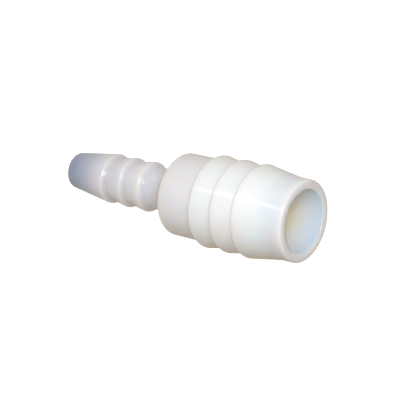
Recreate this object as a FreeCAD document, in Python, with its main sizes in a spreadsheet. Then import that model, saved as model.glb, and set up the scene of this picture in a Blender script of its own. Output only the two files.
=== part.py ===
import FreeCAD, Part
import math
import os
import Sketcher

# Barbed reducing coupling that joins a large hose to a small one, moulded in one piece.
# It stands on its small end. Z is the axis of the waterway and points at the large mouth,
# and the origin is the centre of the small end's face. All sizes are in millimetres.

NODE = "reducing_coupling"

# Driving dimensions: alias, value and what it is. Each radius is worked out from a bore
# and what stands on it.
SIZES = [
    ("small_bore_diameter", 6.4, "bore of the small spigot"),
    ("small_tip_wall", 1.1, "wall at the tip, which starts into the small hose"),
    ("small_neck_wall", 1.8, "wall of the plain neck where the small hose is clamped"),
    ("small_valley_rise", 0.16, "neck up to the valleys between the small barbs"),
    ("small_barb_height", 0.89, "valley up to crest on the small spigot, before rounding"),
    ("small_nose_length", 12.2, "tip to the first small crest"),
    ("small_barb_pitch", 5.7, "crest to crest on the small spigot"),
    ("small_barb_count", 3, "barbs on the small spigot"),
    ("small_back_length", 0.75, "steep back of a small barb, crest to valley"),
    ("neck_length", 8.27, "plain neck, from the last small barb to the shoulder"),
    ("large_bore_diameter", 14.4, "bore of the large spigot"),
    ("collar_wall", 2.5, "wall of the plain collar where the large hose is clamped"),
    ("collar_length", 9.5, "plain collar, from the shoulder to the first large barb"),
    ("large_valley_rise", 0.1, "collar up to the valleys between the large barbs"),
    ("large_barb_height", 1.0, "valley up to crest on the large spigot"),
    ("large_back_length", 0.5, "steep back of a large barb, valley to crest"),
    ("large_crest_flat", 0.3, "narrow flat on top of a large barb"),
    ("large_barb_pitch", 5.95, "crest to crest on the large spigot"),
    ("large_barb_count", 3, "barbs on the large spigot"),
    ("large_nose_length", 8.7, "last large crest to the land"),
    ("large_land_wall", 2.2, "wall of the plain land, which starts into the large hose"),
    ("large_land_length", 3.75, "plain land behind the mouth"),
    ("shoulder_wall", 2.2, "shoulder to the start of the taper inside it"),
    ("taper_length", 4.2, "taper that opens the small bore into the large one"),
    ("small_crest_round", 0.6, "round on the small crests"),
    ("shoulder_bevel", 0.5, "bevel on the outer edge of the shoulder"),
    ("rim_bevel", 0.3, "bevel on the outer edge of both ends"),
    ("bore_bevel", 0.2, "bevel on the edge of the bore at both ends"),
]

# Radii, as formulas over the sheet's cells.
AXIS = "0"
SMALL_BORE = "dim.small_bore_diameter / 2"
SMALL_TIP = f"{SMALL_BORE} + dim.small_tip_wall"
NECK = f"{SMALL_BORE} + dim.small_neck_wall"
SMALL_VALLEY = f"{NECK} + dim.small_valley_rise"
SMALL_CREST = f"{SMALL_VALLEY} + dim.small_barb_height"
LARGE_BORE = "dim.large_bore_diameter / 2"
LAND = f"{LARGE_BORE} + dim.large_land_wall"
COLLAR = f"{LARGE_BORE} + dim.collar_wall"
LARGE_VALLEY = f"{COLLAR} + dim.large_valley_rise"
LARGE_CREST = f"{LARGE_VALLEY} + dim.large_barb_height"

# A barb's back keeps its slope past the valley's level, down to the neck or the collar.
SMALL_LAST_BACK = (
    "dim.small_back_length * (1 + dim.small_valley_rise / dim.small_barb_height)"
)
LARGE_FIRST_BACK = (
    "dim.large_back_length * (1 + dim.large_valley_rise / dim.large_barb_height)"
)

# Heights along the axis, each one built on the one below it.
SMALL_END = "0"
SMALL_FIRST_CREST = "dim.small_nose_length"
SMALL_LAST_CREST = f"{SMALL_FIRST_CREST} + (dim.small_barb_count - 1) * dim.small_barb_pitch"
NECK_START = f"{SMALL_LAST_CREST} + {SMALL_LAST_BACK}"
SHOULDER = f"{NECK_START} + dim.neck_length"
COLLAR_END = f"{SHOULDER} + dim.collar_length"
LARGE_FIRST_CREST = f"{COLLAR_END} + {LARGE_FIRST_BACK}"
LARGE_LAST_CREST = f"{LARGE_FIRST_CREST} + (dim.large_barb_count - 1) * dim.large_barb_pitch"
LAND_START = f"{LARGE_LAST_CREST} + dim.large_nose_length"
MOUTH = f"{LAND_START} + dim.large_land_length"
TAPER_START = f"{SHOULDER} + dim.shoulder_wall"
TAPER_END = f"{TAPER_START} + dim.taper_length"

# How a sketch numbers its origin point, its two axes and the two ends of a line or an arc.
ORIGIN_POINT = -1
HORIZONTAL_AXIS = -1
VERTICAL_AXIS = -2
START = 1
END = 2

# How close an edge must lie to be the one that a pair of formulas names.
FINDING_TOLERANCE = 0.001


def make_sheet(doc):
    """Write the driving dimensions into a sheet, one row each."""
    sheet = doc.addObject("Spreadsheet::Sheet", "dim")
    for row, (alias, value, meaning) in enumerate(SIZES, start=1):
        sheet.set(f"A{row}", meaning)
        sheet.set(f"B{row}", str(value))
        sheet.setAlias(f"B{row}", alias)
    doc.recompute()
    return sheet


def value_of(formula):
    """Work out a formula with the sheet's present values."""
    return float(dim.evalExpression(formula))


def origin_item(body, role):
    """Find one of the body's own origin planes or axes by its role."""
    return next(item for item in body.Origin.OriginFeatures if item.Role == role)


def bind(sketch, constraint, formula):
    """Add a dimension to a sketch and let the sheet drive it."""
    index = sketch.addConstraint(constraint)
    sketch.setExpression(f"Constraints[{index}]", formula)


def hold(sketch, item, direction, formula):
    """Tie the start of a line, or a point, to an axis or to a distance from it."""
    if formula == AXIS:
        on_axis = VERTICAL_AXIS if direction == "DistanceX" else HORIZONTAL_AXIS
        sketch.addConstraint(Sketcher.Constraint("PointOnObject", item, START, on_axis))
        return
    distance = Sketcher.Constraint(
        direction, ORIGIN_POINT, START, item, START, value_of(formula)
    )
    bind(sketch, distance, formula)


def arc_in_corner(before, corner, after, radius):
    """Work out the arc that rounds a corner, and whether it runs with the outline."""
    back = (before - corner).normalize()
    on = (after - corner).normalize()
    half_angle = back.getAngle(on) / 2
    reach = radius / math.tan(half_angle)
    centre = corner + (back + on).normalize() * (radius / math.sin(half_angle))
    first = corner + back * reach
    last = corner + on * reach
    runs_with_outline = back.cross(on).z < 0
    start, end = (first, last) if runs_with_outline else (last, first)
    angles = [math.atan2(point.y - centre.y, point.x - centre.x) for point in (start, end)]
    circle = Part.Circle(centre, FreeCAD.Vector(0, 0, 1), radius)
    return Part.ArcOfCircle(circle, *angles), first, last, runs_with_outline


def half_section(body, name, corners):
    """Draw a closed half-section, counter-clockwise, from its corners.

    A corner is a formula for its radius, one for its height and, where it is rounded,
    one for the radius of its arc. A rounded corner keeps a point where its two lines
    would meet, and that point carries the corner's two dimensions.
    """
    sketch = body.newObject("Sketcher::SketchObject", name)
    sketch.AttachmentSupport = [(origin_item(body, "XZ_Plane"), "")]
    sketch.MapMode = "FlatFace"
    points = [FreeCAD.Vector(value_of(corner[0]), value_of(corner[1]), 0) for corner in corners]
    count = len(corners)
    starts = list(points)
    ends = points[1:] + points[:1]
    rounds = {}
    for number, corner in enumerate(corners):
        if len(corner) == 3:
            arc, first, last, with_outline = arc_in_corner(
                points[number - 1], points[number], points[(number + 1) % count],
                value_of(corner[2]),
            )
            ends[number - 1] = first
            starts[number] = last
            rounds[number] = (arc, with_outline)
    for start, end in zip(starts, ends):
        sketch.addGeometry(Part.LineSegment(start, end))
    for number, corner in enumerate(corners):
        previous = (number - 1) % count
        if number in rounds:
            arc, with_outline = rounds[number]
            arc_number = sketch.addGeometry(arc)
            meets_previous, meets_next = (START, END) if with_outline else (END, START)
            sketch.addConstraint(
                Sketcher.Constraint("Tangent", previous, END, arc_number, meets_previous)
            )
            sketch.addConstraint(
                Sketcher.Constraint("Tangent", arc_number, meets_next, number, START)
            )
            bind(sketch, Sketcher.Constraint("Radius", arc_number, arc.Radius), corner[2])
            held = sketch.addGeometry(Part.Point(points[number]), True)
            sketch.addConstraint(Sketcher.Constraint("PointOnObject", held, START, previous))
            sketch.addConstraint(Sketcher.Constraint("PointOnObject", held, START, number))
        else:
            held = number
            sketch.addConstraint(Sketcher.Constraint("Coincident", previous, END, number, START))
        hold(sketch, held, "DistanceX", corner[0])
        hold(sketch, held, "DistanceY", corner[1])
    return sketch


def turn(body, kind, name, corners):
    """Turn a half-section about the axis, as a solid (Revolution) or a cut (Groove)."""
    section = half_section(body, f"{name}_section", corners)
    turned = body.newObject(f"PartDesign::{kind}", name)
    turned.Profile = section
    turned.ReferenceAxis = (section, ["V_Axis"])
    turned.Angle = 360
    body.Document.recompute()
    return turned


def circles_at(shape, places):
    """Name the round edges that lie at the given radii and heights."""
    names = []
    for radius, height in places:
        for number, edge in enumerate(shape.Edges, start=1):
            curve = edge.Curve
            if not isinstance(curve, Part.Circle):
                continue
            off_radius = abs(curve.Radius - radius)
            off_height = abs(curve.Center.z - height)
            if max(off_radius, off_height) < FINDING_TOLERANCE:
                names.append(f"Edge{number}")
    if len(names) != len(places):
        raise RuntimeError(f"found {len(names)} edges for {len(places)} places")
    return names


def bevel_edges(body, name, size_formula, places):
    """Bevel the circular edges at the given places, each a formula pair."""
    wanted = [(value_of(radius), value_of(height)) for radius, height in places]
    base = body.Tip
    bevel = body.newObject("PartDesign::Chamfer", name)
    bevel.Base = (base, circles_at(base.Shape, wanted))
    bevel.setExpression("Size", size_formula)
    body.Document.recompute()


def small_barbs():
    """Crests and valleys of the small spigot, from the tip up. Each barb rises gently
    towards the shoulder and drops steeply behind its crest, and the last one drops
    to the neck."""
    corners = []
    for barb in range(round(value_of("dim.small_barb_count"))):
        crest = f"{SMALL_FIRST_CREST} + {barb} * dim.small_barb_pitch"
        corners.append((SMALL_CREST, crest, "dim.small_crest_round"))
        corners.append((SMALL_VALLEY, f"{crest} + dim.small_back_length"))
    corners[-1] = (NECK, NECK_START)
    return corners


def large_barbs():
    """Valleys and crests of the large spigot, from the collar up. Each barb rises
    steeply to a narrow flat and falls gently towards the mouth, and the first one
    rises from the collar."""
    corners = []
    for barb in range(round(value_of("dim.large_barb_count"))):
        crest = f"{LARGE_FIRST_CREST} + {barb} * dim.large_barb_pitch"
        corners.append((LARGE_VALLEY, f"{crest} - dim.large_back_length"))
        corners.append((LARGE_CREST, crest))
        corners.append((LARGE_CREST, f"{crest} + dim.large_crest_flat"))
    corners[0] = (COLLAR, COLLAR_END)
    return corners


def turn_outside(body):
    """The whole outside in one half-section, so that the round on each small crest
    runs smoothly into the slopes beside it."""
    turn(body, "Revolution", "outside", [
        (AXIS, SMALL_END),
        (SMALL_TIP, SMALL_END),
        *small_barbs(),
        (NECK, SHOULDER),
        (COLLAR, SHOULDER),
        *large_barbs(),
        (LAND, LAND_START),
        (LAND, MOUTH),
        (AXIS, MOUTH),
    ])


def cut_waterway(body):
    """Two true bores joined by a taper that keeps the wall even behind the shoulder."""
    before = body.Shape.Volume
    turn(body, "Groove", "waterway", [
        (AXIS, SMALL_END),
        (SMALL_BORE, SMALL_END),
        (SMALL_BORE, TAPER_START),
        (LARGE_BORE, TAPER_END),
        (LARGE_BORE, MOUTH),
        (AXIS, MOUTH),
    ])
    small = value_of(SMALL_BORE)
    large = value_of(LARGE_BORE)
    expected = math.pi * (
        small ** 2 * value_of(TAPER_START)
        + (small ** 2 + small * large + large ** 2) * value_of("dim.taper_length") / 3
        + large ** 2 * (value_of(MOUTH) - value_of(TAPER_END))
    )
    removed = before - body.Shape.Volume
    print(f"waterway: {removed:.1f} mm3 removed, {expected:.1f} expected")
    if abs(removed - expected) > 0.001 * expected:
        raise RuntimeError("the waterway isn't cut through")


def break_sharp_edges(body):
    """Bevel the shoulder, the outer rims and the edges of the bore."""
    bevel_edges(body, "shoulder_edge", "dim.shoulder_bevel", [(COLLAR, SHOULDER)])
    bevel_edges(body, "rims", "dim.rim_bevel", [(SMALL_TIP, SMALL_END), (LAND, MOUTH)])
    bevel_edges(body, "bore_edges", "dim.bore_bevel", [
        (SMALL_BORE, SMALL_END),
        (LARGE_BORE, MOUTH),
    ])


def check(doc, body):
    """Stop before anything is written if a feature failed or the solid isn't sound."""
    for item in doc.Objects:
        if "Invalid" in item.State or "Error" in item.State:
            raise RuntimeError(f"{item.Name} failed: {item.State}")
    shape = body.Shape
    if shape.isNull() or not shape.isValid() or len(shape.Solids) != 1:
        raise RuntimeError(f"{body.Label} isn't one valid solid")


doc = FreeCAD.newDocument("coupling")
dim = make_sheet(doc)
coupling = doc.addObject("PartDesign::Body", NODE)
coupling.Label = NODE
coupling.Placement = FreeCAD.Placement()
turn_outside(coupling)
cut_waterway(coupling)
break_sharp_edges(coupling)
doc.recompute()
check(doc, coupling)

os.makedirs("parts", exist_ok=True)
coupling.Shape.exportStep(f"parts/{coupling.Label}.step")
solid = coupling.Shape.Solids[0]
box = solid.optimalBoundingBox(True, False)
print(f"{coupling.Label}: {box.ZLength:.2f} long, {box.XLength:.2f} across")
print(f"volume {solid.Volume:.0f} mm3, centre of mass at height {solid.CenterOfMass.z:.2f}")
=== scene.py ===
# %% [markdown]
# # A milky hose coupling
#
# The object is a straight hose coupling, moulded in one piece of uncoloured polypropylene.
# A large spigot and a small one, each with three barbs, meet at a square shoulder, and a
# stepped waterway runs through both.
#
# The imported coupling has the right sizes, but its edges are only bevelled and its surface is
# cut into flat triangles. This lesson models the same form again with the soft edges that a
# mould leaves, gives it a milky plastic and lights it as in the photograph.

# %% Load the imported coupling
import math

import bpy
from mathutils import Matrix, Vector


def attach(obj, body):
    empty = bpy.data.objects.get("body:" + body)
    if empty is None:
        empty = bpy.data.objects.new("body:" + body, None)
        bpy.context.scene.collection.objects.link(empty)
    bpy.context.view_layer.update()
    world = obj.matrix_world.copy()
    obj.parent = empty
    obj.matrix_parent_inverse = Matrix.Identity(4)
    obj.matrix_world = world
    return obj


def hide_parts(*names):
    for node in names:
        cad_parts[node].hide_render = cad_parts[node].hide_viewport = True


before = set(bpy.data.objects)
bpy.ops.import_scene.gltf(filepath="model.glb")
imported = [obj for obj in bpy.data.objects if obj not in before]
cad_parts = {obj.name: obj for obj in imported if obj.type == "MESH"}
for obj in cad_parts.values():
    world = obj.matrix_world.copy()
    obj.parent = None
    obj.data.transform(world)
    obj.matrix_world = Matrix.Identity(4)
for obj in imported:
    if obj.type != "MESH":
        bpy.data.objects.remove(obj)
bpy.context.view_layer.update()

# %% [markdown]
# ## Sizes
#
# All sizes are in millimetres, as on a drawing, and MM turns them to metres where a mesh
# needs them. Each radius is a bore with a wall on it, and each height stands on the one
# before it, so the outline stays whole when one size changes.
#
# A barb has a long cone and a steep back. Where the back runs out on the neck or on the
# collar, it is carried on in the same slope to that radius, which is its foot.

# %% Radii
MM = 0.001
SMALL_BORE = 3.2
SMALL_TIP = SMALL_BORE + 1.1
NECK = SMALL_BORE + 1.8
SMALL_VALLEY = NECK + 0.16
SMALL_CREST = SMALL_VALLEY + 0.89
LARGE_BORE = 7.2
LAND = LARGE_BORE + 2.2
COLLAR = LARGE_BORE + 2.5
LARGE_VALLEY = COLLAR + 0.1
LARGE_CREST = LARGE_VALLEY + 1.05
print(f"tip {2 * SMALL_TIP:.1f} mm across, large crests {2 * LARGE_CREST:.1f} mm across")

# %% Lengths
BARBS = 3
SMALL_NOSE = 12.2
SMALL_PITCH = 5.7
SMALL_BACK = 0.75
NECK_LENGTH = 8.27
COLLAR_LENGTH = 9.5
LARGE_BACK = 0.5
LARGE_PITCH = 5.95
LARGE_NOSE = 8.7
LAND_LENGTH = 3.75
TAPER_DEPTH = 2.2
TAPER_LENGTH = 4.2
print(BARBS, "barbs on each spigot,", SMALL_PITCH, "and", LARGE_PITCH, "mm apart")

# %% Heights
SMALL_FOOT = SMALL_BACK * (SMALL_CREST - NECK) / (SMALL_CREST - SMALL_VALLEY)
LARGE_FOOT = LARGE_BACK * (LARGE_CREST - COLLAR) / (LARGE_CREST - LARGE_VALLEY)
NECK_START = SMALL_NOSE + (BARBS - 1) * SMALL_PITCH + SMALL_FOOT
SHOULDER = NECK_START + NECK_LENGTH
TAPER_START = SHOULDER + TAPER_DEPTH
TAPER_END = TAPER_START + TAPER_LENGTH
COLLAR_END = SHOULDER + COLLAR_LENGTH
LARGE_FIRST_CREST = COLLAR_END + LARGE_FOOT
LAND_START = LARGE_FIRST_CREST + (BARBS - 1) * LARGE_PITCH + LARGE_NOSE
MOUTH = LAND_START + LAND_LENGTH

# %% [markdown]
# ## The outline as rings
#
# Every surface of the coupling is round about its axis. It could be drawn as a half-section
# and spun, or built up from rings, as a potter raises a wall. Rings are chosen here, because
# a ring is easy to find again when its edge is to be rounded.
#
# Each ring is a radius, a height and the radius of the round that the mould leaves there.
# The list goes up the outside from the tip to the mouth, and back down the waterway. The
# large round of 12 mm lets the nose cone flow into the land, as the photograph shows.

# %% List the rings of the barbs
SMALL_ROUND = 0.6
LARGE_ROUND = 0.5
VALLEY_ROUND = 0.4


def barb_rings(first_crest, pitch, back, crest, valley, crest_round):
    """Crest and valley rings of one spigot; a negative back puts the valley below."""
    pairs = []
    for barb in range(BARBS):
        height = first_crest + barb * pitch
        pair = [(crest, height, crest_round), (valley, height + back, VALLEY_ROUND)]
        pairs += pair if back > 0 else pair[::-1]
    return pairs


small_barbs = barb_rings(
    SMALL_NOSE, SMALL_PITCH, SMALL_BACK, SMALL_CREST, SMALL_VALLEY, SMALL_ROUND
)
small_barbs[-1] = (NECK, NECK_START, VALLEY_ROUND)
large_barbs = barb_rings(
    LARGE_FIRST_CREST, LARGE_PITCH, -LARGE_BACK, LARGE_CREST, LARGE_VALLEY, LARGE_ROUND
)
large_barbs[0] = (COLLAR, COLLAR_END, VALLEY_ROUND)
print(len(small_barbs), "rings on the small barbs,", len(large_barbs), "on the large ones")

# %% List all the rings
rings = [
    (SMALL_TIP, 0, 0.35),
    *small_barbs,
    (NECK, SHOULDER, 0.5),
    (COLLAR, SHOULDER, 0.65),
    *large_barbs,
    (LAND, LAND_START, 12),
    (LAND, MOUTH, 0.6),
    (LARGE_BORE, MOUTH, 0.2),
    (LARGE_BORE, TAPER_END, 1),
    (SMALL_BORE, TAPER_START, 1),
    (SMALL_BORE, 0, 0.2),
]
print(len(rings), "rings")

# %% [markdown]
# ## Raise the wall
#
# The primitive is a circle at the tip. It is extruded to the next ring's height and scaled
# to its radius, again and again, until it is back at the tip, where the last ring is merged
# with the first. The result is one closed wall with a hole through it, as in the real part.

# %% Add the first ring
SIDES = 160
bpy.ops.object.select_all(action="DESELECT")
bpy.ops.mesh.primitive_circle_add(vertices=SIDES, radius=SMALL_TIP * MM, location=(0, 0, 0))
coupling = bpy.context.object
coupling.name = "hose_coupling"
coupling.data.name = "hose_coupling"
print("the first ring has", len(coupling.data.vertices), "points")

# %% Pull it up the outside and down the waterway
MERGE_DISTANCE = 0.001
bpy.ops.object.mode_set(mode="EDIT")
bpy.ops.mesh.select_mode(type="EDGE")
bpy.ops.mesh.select_all(action="SELECT")
for ring, next_ring in zip(rings, rings[1:] + rings[:1]):
    radius, height, _ = ring
    next_radius, next_height, _ = next_ring
    rise = (0, 0, (next_height - height) * MM)
    scale = next_radius / radius
    bpy.ops.mesh.extrude_region_move(TRANSFORM_OT_translate={"value": rise})
    bpy.ops.transform.resize(value=(scale, scale, 1), center_override=(0, 0, next_height * MM))
bpy.ops.mesh.select_all(action="SELECT")
bpy.ops.mesh.remove_doubles(threshold=MERGE_DISTANCE * MM)
bpy.ops.mesh.normals_make_consistent(inside=False)
bpy.ops.object.mode_set(mode="OBJECT")
print(len(coupling.data.vertices), "points in", len(coupling.data.polygons), "faces")

# %% [markdown]
# ## Round the edges
#
# A mould's edges are never sharp. Each ring is bevelled into a round of its own radius. The
# bevel wants to know how far it reaches along the walls on both sides. That is the radius
# times the tangent of half the turn between them, as for any round in a corner. A ring's
# edges are found by their place, because a bevel gives the mesh's points new numbers.

# %% Helpers for the rounds
ON_RING = 0.01


def turn_at(number):
    """Angle by which the outline turns at a ring."""
    before, here, after = (
        Vector(rings[place % len(rings)][:2]) for place in (number - 1, number, number + 1)
    )
    return (here - before).angle(after - here)


def select_ring(radius, height):
    """Select the edges of the ring at that place and nothing else, and count them."""
    mesh = coupling.data
    on_ring = [
        abs(point.co.xy.length - radius * MM) < ON_RING * MM
        and abs(point.co.z - height * MM) < ON_RING * MM
        for point in mesh.vertices
    ]
    mesh.vertices.foreach_set("select", [False] * len(mesh.vertices))
    mesh.polygons.foreach_set("select", [False] * len(mesh.polygons))
    for edge in mesh.edges:
        edge.select = all(on_ring[point] for point in edge.vertices)
    return sum(edge.select for edge in mesh.edges)


# %% Bevel every ring
SEGMENTS = 8
for number, (radius, height, rounding) in enumerate(rings):
    found = select_ring(radius, height)
    reach = rounding * math.tan(turn_at(number) / 2)
    bpy.ops.object.mode_set(mode="EDIT")
    bpy.ops.mesh.bevel(offset=reach * MM, segments=SEGMENTS, profile=0.5)
    bpy.ops.object.mode_set(mode="OBJECT")
    print(f"ring {number}: {found} edges, reach {reach:.2f} mm")

# %% [markdown]
# ## Shade it smooth
#
# Smooth shading alone would bend the light across the long cones, because their end points
# share their normals with the narrow faces of the rounds. The Weighted Normal modifier lets
# the larger face decide, so that cones stay straight and only the rounds look round. The
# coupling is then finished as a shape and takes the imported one's place.

# %% Smooth it and weigh its normals
bpy.ops.object.shade_smooth()
weigh = coupling.modifiers.new("weigh normals", "WEIGHTED_NORMAL")
weigh.mode = "FACE_AREA"
weigh.weight = 50
bpy.ops.object.modifier_apply(modifier=weigh.name)
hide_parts("reducing_coupling")
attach(coupling, "root")
print(len(coupling.data.polygons), "faces,", coupling.dimensions)

# %% [markdown]
# ## Where the plastic changes and where light is painted
#
# Uncoloured polypropylene doesn't look the same all over. What a wall sends back depends on
# how thick it is and on what lies behind it. A painted picture could show this, but it would
# need a map of the surface. Marks on the mesh are lighter: a number for each point or face,
# which the material reads and turns into a colour.
#
# One mark says where the waterway is. One lies on the small crests and the rims, and paints a
# warm glow there. Two lie on the steps of the large barbs and in the grooves behind the small
# ones, and paint light over the shade that falls in these hollows.

# %% Mark the painted glow on the edges and the painted light in the steps and grooves
mesh = coupling.data
small_crests, small_grooves = small_barbs[0::2], small_barbs[1::2]
rims = [(LAND, MOUTH), (LARGE_BORE, MOUTH)]


def mark_near(name, corners, width):
    """Mark the mesh near some rings: 1 on a ring, falling to 0 at the given width."""
    marks = []
    for point in mesh.vertices:
        here = Vector((point.co.xy.length, point.co.z)) / MM
        nearest = min((here - Vector(corner[:2])).length for corner in corners)
        marks.append(max(0, 1 - nearest / width))
    mesh.attributes.new(name, "FLOAT", "POINT").data.foreach_set("value", marks)
    print(f"{name}: {sum(marks):.0f} marks round {len(corners)} rings")


# Painted warm glow on the small crests and the rims.
mark_near("edge", [*small_crests, *rims], width=1.1)
# Painted light: white over the shade at the steps of the large barbs.
mark_near("step_painted_light", large_barbs[1:], width=1.3)
# Painted light: pale over the shade in the grooves behind the small crests.
mark_near("groove_painted_light", small_grooves, width=1.2)

# %% Mark the waterway by the faces that look at the axis
INWARDS = -0.2
inside_marks = [
    float(face.normal.xy.dot(face.center.xy) < INWARDS * face.center.xy.length)
    for face in mesh.polygons
]
mesh.attributes.new("waterway", "FLOAT", "FACE").data.foreach_set("value", inside_marks)
print(f"waterway: {sum(inside_marks):.0f} faces")

# %% [markdown]
# ## Milky polypropylene
#
# Uncoloured polypropylene is cloudy. Light enters it, scatters on its crystals and comes out
# some millimetres away, so shadows are soft and thin edges glow.
#
# The thin tip lets most light through and looks grey-blue, and the thick barbs look white. A
# ramp along the axis gives each stretch its wall's tone, with painted shade that darkens the
# tip further. A second ramp paints the light and shade inside the waterway, warm further in and
# blue at the mouth. The marks then lay painted glow and painted light over these.

# %% Helpers for materials
def linear(code):
    """Turn an sRGB hex colour into the linear colour that a shader wants."""
    parts = [int(code[place:place + 2], 16) / 255 for place in (1, 3, 5)]
    return tuple(
        part / 12.92 if part <= 0.04045 else ((part + 0.055) / 1.055) ** 2.4 for part in parts
    ) + (1,)


def add_node(tree, kind, settings, links=()):
    """Add a node, set its properties and sockets by name and link its inputs.

    An input that shares its name with others, as on a Math or a Mix node, goes by number.
    """
    node = tree.nodes.new(kind)
    for name, value in settings.items():
        if name in node.inputs:
            node.inputs[name].default_value = value
        else:
            setattr(node, name, value)
    for name, source in dict(links).items():
        tree.links.new(source, node.inputs[name])
    return node


# %% Colour the walls by height, with painted shade and painted waterway light
# Darker and bluer towards the tip: partly the thin wall's own tone, partly painted shade.
WALL_TONE_AND_PAINTED_SHADE = [
    (0, "#98a3ba"),
    (2.5, "#8191b1"),
    (7, "#7f94ba"),
    (12, "#b5bdda"),
    (20, "#cad2e6"),
    (28, "#dedde3"),
    (33, "#dedbda"),
    (37, "#e2e1e7"),
    (42, "#ececeb"),
    (56, "#f2f4f4"),
    (61, "#e9f1f6"),
    (MOUTH, "#d1d9e5"),
]
# Painted light and shade inside the waterway: warm a little way in, blue at the mouth.
WATERWAY_PAINTED_LIGHT_AND_SHADE = [
    (35, "#eeedec"),
    (52, "#eee3cf"),
    (57, "#f7e9c8"),
    (66, "#cee2fa"),
]
plastic = bpy.data.materials.new("milky polypropylene, moulded")
plastic.use_nodes = True
tree = plastic.node_tree
tree.nodes.clear()
place = add_node(tree, "ShaderNodeTexCoord", {})
split = add_node(tree, "ShaderNodeSeparateXYZ", {}, {"Vector": place.outputs["Object"]})
along = add_node(tree, "ShaderNodeMapRange", {"From Max": MOUTH * MM}, {
    "Value": split.outputs["Z"],
})
walls = []
for colours in (WALL_TONE_AND_PAINTED_SHADE, WATERWAY_PAINTED_LIGHT_AND_SHADE):
    ramp = add_node(tree, "ShaderNodeValToRGB", {}, {"Fac": along.outputs["Result"]})
    stops = ramp.color_ramp.elements
    while len(stops) < len(colours):
        stops.new(0.5)
    for stop, (height, code) in zip(stops, colours):
        stop.position = height / MOUTH
        stop.color = linear(code)
    walls.append(ramp.outputs["Color"])
    print("a ramp of", len(stops), "colours")
outside, inside = walls

# %% Lay the marks' painted glow and painted light over the walls
# A Mix node keeps inputs for numbers, vectors and colours. These are its two colours and
# the colour that comes out.
UNDER, OVER, MIXED = 6, 7, 2
# White on the steps and pale on the grooves is painted light over their shade, the edges get a
# painted warm glow, and the waterway gets its painted light and shade.
PAINTED_LIGHT_MARKS = {"step_painted_light": "#ffffff", "groove_painted_light": "#e8e4ea", "edge": "#f1eceb", "waterway": inside}
for name, colour in PAINTED_LIGHT_MARKS.items():
    mark = add_node(tree, "ShaderNodeAttribute", {"attribute_name": name})
    mix = add_node(tree, "ShaderNodeMix", {"data_type": "RGBA"}, {
        "Factor": mark.outputs["Fac"],
        UNDER: outside,
    })
    if isinstance(colour, str):
        mix.inputs[OVER].default_value = linear(colour)
    else:
        tree.links.new(colour, mix.inputs[OVER])
    outside = mix.outputs[MIXED]
print("marks over the walls:", ", ".join(PAINTED_LIGHT_MARKS))

# %% [markdown]
# ## Clouds, depth and gloss
#
# The melt sets unevenly, so faint clouds some millimetres across drift between pink and
# green-blue. A noise in the object's own coordinates gives them, at their real size.
#
# A subsurface shader lets the light in, with a longer path for red than for blue.
#
# A polished mould leaves a glossy skin. It could be the shader's own gloss, but that brightens
# the outline, where the photograph is dark. A clear coat is used instead, which fades where
# the surface turns away. The polish has a grain of a few hundredths of a millimetre, which is
# too fine to show here. It is drawn at half a millimetre, as coarse as it needs to be to keep
# the highlights from looking perfect.

# %% Tint the walls with clouds
CLOUD_SIZE = 5
CLOUD_TINTS = [(0.35, "#fffaf9"), (0.65, "#fafeff")]
clouds = add_node(tree, "ShaderNodeTexNoise", {"Scale": 1 / (CLOUD_SIZE * MM), "Detail": 3.0}, {
    "Vector": place.outputs["Object"],
})
tints = add_node(tree, "ShaderNodeValToRGB", {}, {"Fac": clouds.outputs["Fac"]})
for stop, (level, code) in zip(tints.color_ramp.elements, CLOUD_TINTS):
    stop.position = level
    stop.color = linear(code)
tinted = add_node(
    tree,
    "ShaderNodeMix",
    {"data_type": "RGBA", "blend_type": "MULTIPLY", "Factor": 1.0},
    {UNDER: outside, OVER: tints.outputs["Color"]},
)
print("clouds of", CLOUD_SIZE, "mm")

# %% Grain the skin
GRAIN_SIZE = 0.5
GRAIN_HEIGHT = 0.02
grain = add_node(tree, "ShaderNodeTexNoise", {"Scale": 1 / (GRAIN_SIZE * MM), "Detail": 3.0}, {
    "Vector": place.outputs["Object"],
})
polish = add_node(tree, "ShaderNodeMapRange", {"To Min": 0.07, "To Max": 0.14}, {
    "Value": grain.outputs["Fac"],
})
skin = add_node(tree, "ShaderNodeBump", {"Strength": 0.1, "Distance": GRAIN_HEIGHT * MM}, {
    "Height": grain.outputs["Fac"],
})
facing = add_node(tree, "ShaderNodeLayerWeight", {"Blend": 0.5})
gloss = add_node(tree, "ShaderNodeMapRange", {"To Min": 1.0, "To Max": 0.0}, {
    "Value": facing.outputs["Facing"],
})
print("a grain of", GRAIN_SIZE, "mm, drawn coarse")

# %% Join it all in one shader
POLYPROPYLENE_IOR = 1.49
LIGHT_PATH = 8
surface = add_node(tree, "ShaderNodeBsdfPrincipled", {
    "Roughness": 0.3,
    "IOR": POLYPROPYLENE_IOR,
    "Specular IOR Level": 0.0,
    "Coat IOR": POLYPROPYLENE_IOR,
    "Subsurface Weight": 1.0,
    "Subsurface Scale": LIGHT_PATH * MM,
    "Subsurface Radius": (1.0, 0.8, 0.65),
}, {
    "Base Color": tinted.outputs[MIXED],
    "Coat Weight": gloss.outputs["Result"],
    "Coat Roughness": polish.outputs["Result"],
    "Coat Normal": skin.outputs["Normal"],
    "Normal": skin.outputs["Normal"],
})
add_node(tree, "ShaderNodeOutputMaterial", {}, {"Surface": surface.outputs["BSDF"]})
mesh.materials.append(plastic)
print(plastic.name, "has", len(tree.nodes), "nodes")

# %% [markdown]
# ## Floor and backdrop
#
# The photograph has a plain white ground with no edge. The floor is white and takes the
# coupling's shadow, and a little light of its own, which only the camera and reflections
# see, lifts it to white. The world beyond it is white to them too.

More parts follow.
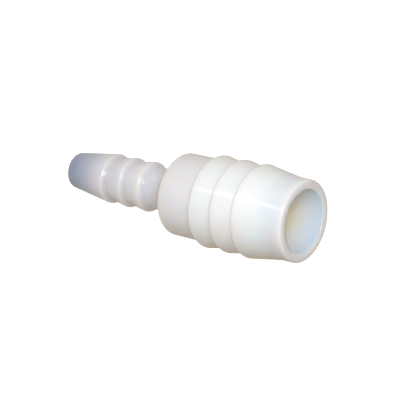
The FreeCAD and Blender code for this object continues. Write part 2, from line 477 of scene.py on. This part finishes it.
# %% Helper for what is seen directly
def seen_directly(tree):
    """1 for rays from the camera and for reflected or passed rays, and 0 for other light."""
    ray = add_node(tree, "ShaderNodeLightPath", {})
    sharp = add_node(tree, "ShaderNodeMath", {"operation": "MAXIMUM"}, {
        0: ray.outputs["Is Glossy Ray"],
        1: ray.outputs["Is Transmission Ray"],
    })
    either = add_node(tree, "ShaderNodeMath", {"operation": "MAXIMUM"}, {
        0: ray.outputs["Is Camera Ray"],
        1: sharp.outputs["Value"],
    })
    return either.outputs["Value"]


# %% Lay the floor
FLOOR_SIZE = 4
FLOOR_LIFT = 0.9
bpy.ops.object.select_all(action="DESELECT")
bpy.ops.mesh.primitive_plane_add(size=FLOOR_SIZE, location=(0, 0, 0))
floor = bpy.context.object
floor.name = "floor"
ground = bpy.data.materials.new("white paper ground")
ground.use_nodes = True
tree = ground.node_tree
tree.nodes.clear()
lift = add_node(tree, "ShaderNodeMapRange", {"To Max": FLOOR_LIFT}, {
    "Value": seen_directly(tree),
})
glow = add_node(tree, "ShaderNodeEmission", {}, {"Strength": lift.outputs["Result"]})
paper = add_node(tree, "ShaderNodeBsdfDiffuse", {"Color": linear("#e0e0e0")})
both = add_node(tree, "ShaderNodeAddShader", {}, {
    0: paper.outputs["BSDF"],
    1: glow.outputs["Emission"],
})
add_node(tree, "ShaderNodeOutputMaterial", {}, {"Surface": both.outputs["Shader"]})
floor.data.materials.append(ground)
print(f"a floor of {FLOOR_SIZE} m, lifted by {FLOOR_LIFT}")

# %% Set the world
WORLD_FILL = 0.29
world = bpy.data.worlds.new("studio")
bpy.context.scene.world = world
world.use_nodes = True
tree = world.node_tree
tree.nodes.clear()
white = add_node(tree, "ShaderNodeBackground", {"Color": (1, 1, 1, 1)})
fill = add_node(tree, "ShaderNodeBackground", {
    "Color": linear("#ffe2b2"),
    "Strength": WORLD_FILL,
})
sky = add_node(tree, "ShaderNodeMixShader", {}, {
    "Fac": seen_directly(tree),
    1: fill.outputs["Background"],
    2: white.outputs["Background"],
})
add_node(tree, "ShaderNodeOutputWorld", {}, {"Surface": sky.outputs["Shader"]})
print("a warm fill of", WORLD_FILL)

# %% [markdown]
# ## Camera
#
# The photograph looks at the coupling's side with its mouth turned towards the lens. Here
# the coupling stands on its tip, so the camera lies on its side instead. Its place is worked
# out from the angles between the axis and the picture: LEAN is how far the camera looks down
# on the mouth, and ROLL is how far the axis is turned in the picture.
#
# The distance, in millimetres, sets how strongly the near end grows. The focal length is
# given in pixels of the picture, and the two aims shift the view a little off the shoulder.

# %% Find the camera's place
LEAN = math.radians(36.65)
ROLL = math.radians(12.94)
DISTANCE = 360
AIM_RIGHT = -0.0109
AIM_DOWN = -0.0040

forward = Vector((0, math.cos(LEAN), -math.sin(LEAN)))
across = Vector((1, 0, 0))
upward = Vector((0, math.sin(LEAN), math.cos(LEAN)))
picture_right = math.cos(ROLL) * upward - math.sin(ROLL) * across
picture_down = math.cos(ROLL) * across + math.sin(ROLL) * upward
to_shoulder = (forward + AIM_RIGHT * picture_right + AIM_DOWN * picture_down) * DISTANCE * MM
camera_place = Vector((0, 0, SHOULDER * MM)) - to_shoulder
print("camera at", [round(part / MM) for part in camera_place], "mm")

# %% Add the camera
PICTURE = 400
FOCAL_PIXELS = 1548
SENSOR = 36
NEAREST = 10
camera_data = bpy.data.cameras.new("camera")
camera_data.sensor_width = SENSOR
camera_data.lens = FOCAL_PIXELS / PICTURE * SENSOR
camera_data.clip_start = NEAREST * MM
camera = bpy.data.objects.new("camera", camera_data)
bpy.context.scene.collection.objects.link(camera)
turn = Matrix((picture_right, -picture_down, -forward)).transposed()
camera.matrix_world = Matrix.Translation(camera_place) @ turn.to_4x4()
bpy.context.scene.camera = camera
print(f"a lens of {camera_data.lens:.0f} mm on a sensor of {SENSOR} mm")

# %% [markdown]
# ## Lamps
#
# A soft box stands above the coupling in the picture and gives the bright spots on the small
# crests and on the mouth's rim. A narrow strip lies where the large barbs mirror it to the
# camera, and makes the streak along them. A weak light behind keeps the far side milky.
#
# Each lamp is hung by the point it shines on, the direction in which it lies from there and
# its distance. That is how a photographer sets one, and it keeps a lamp aimed when it moves.

# %% Helpers for the lamps
def towards(azimuth, elevation):
    """Direction from the coupling, by its angles round the axis and above the floor."""
    flat = math.cos(math.radians(elevation))
    return Vector((
        math.cos(math.radians(azimuth)) * flat,
        math.sin(math.radians(azimuth)) * flat,
        math.sin(math.radians(elevation)),
    ))


def add_lamp(name, target, direction, distance, size, power, code):
    """Add a flat lamp at a distance from its target, in millimetres, turned towards it."""
    data = bpy.data.lights.new(name, "AREA")
    data.shape = "RECTANGLE"
    data.size, data.size_y = (side * MM for side in size)
    data.energy = power
    data.color = linear(code)[:3]
    lamp = bpy.data.objects.new(name, data)
    bpy.context.scene.collection.objects.link(lamp)
    target = Vector(target)
    place = target + distance * direction
    lamp.location = place * MM
    lamp.rotation_euler = ((target - place) * MM).to_track_quat("-Z", "Y").to_euler()
    print(f"{name}: {power} W from", [round(part) for part in place], "mm")


# %% Add the lamps
add_lamp(
    "soft box", target=(0, 0, 60), direction=towards(-101, 36), distance=200,
    size=(60, 60), power=0.375, code="#eff6ff",
)
add_lamp(
    "back light", target=(0, 0, 35), direction=towards(90, 5), distance=250,
    size=(120, 60), power=0.17, code="#dde9ff",
)
add_lamp(
    "narrow strip", target=(-1.8, -10.3, 51), direction=towards(-108.8, -15), distance=100,
    size=(9, 44), power=0.0075, code="#fff0de",
)

# %% [markdown]
# ## Finish
#
# The colours are shown as they are written.

# %% Show the colours as written and finish
bpy.context.scene.view_settings.view_transform = "Standard"
bpy.context.view_layer.update()
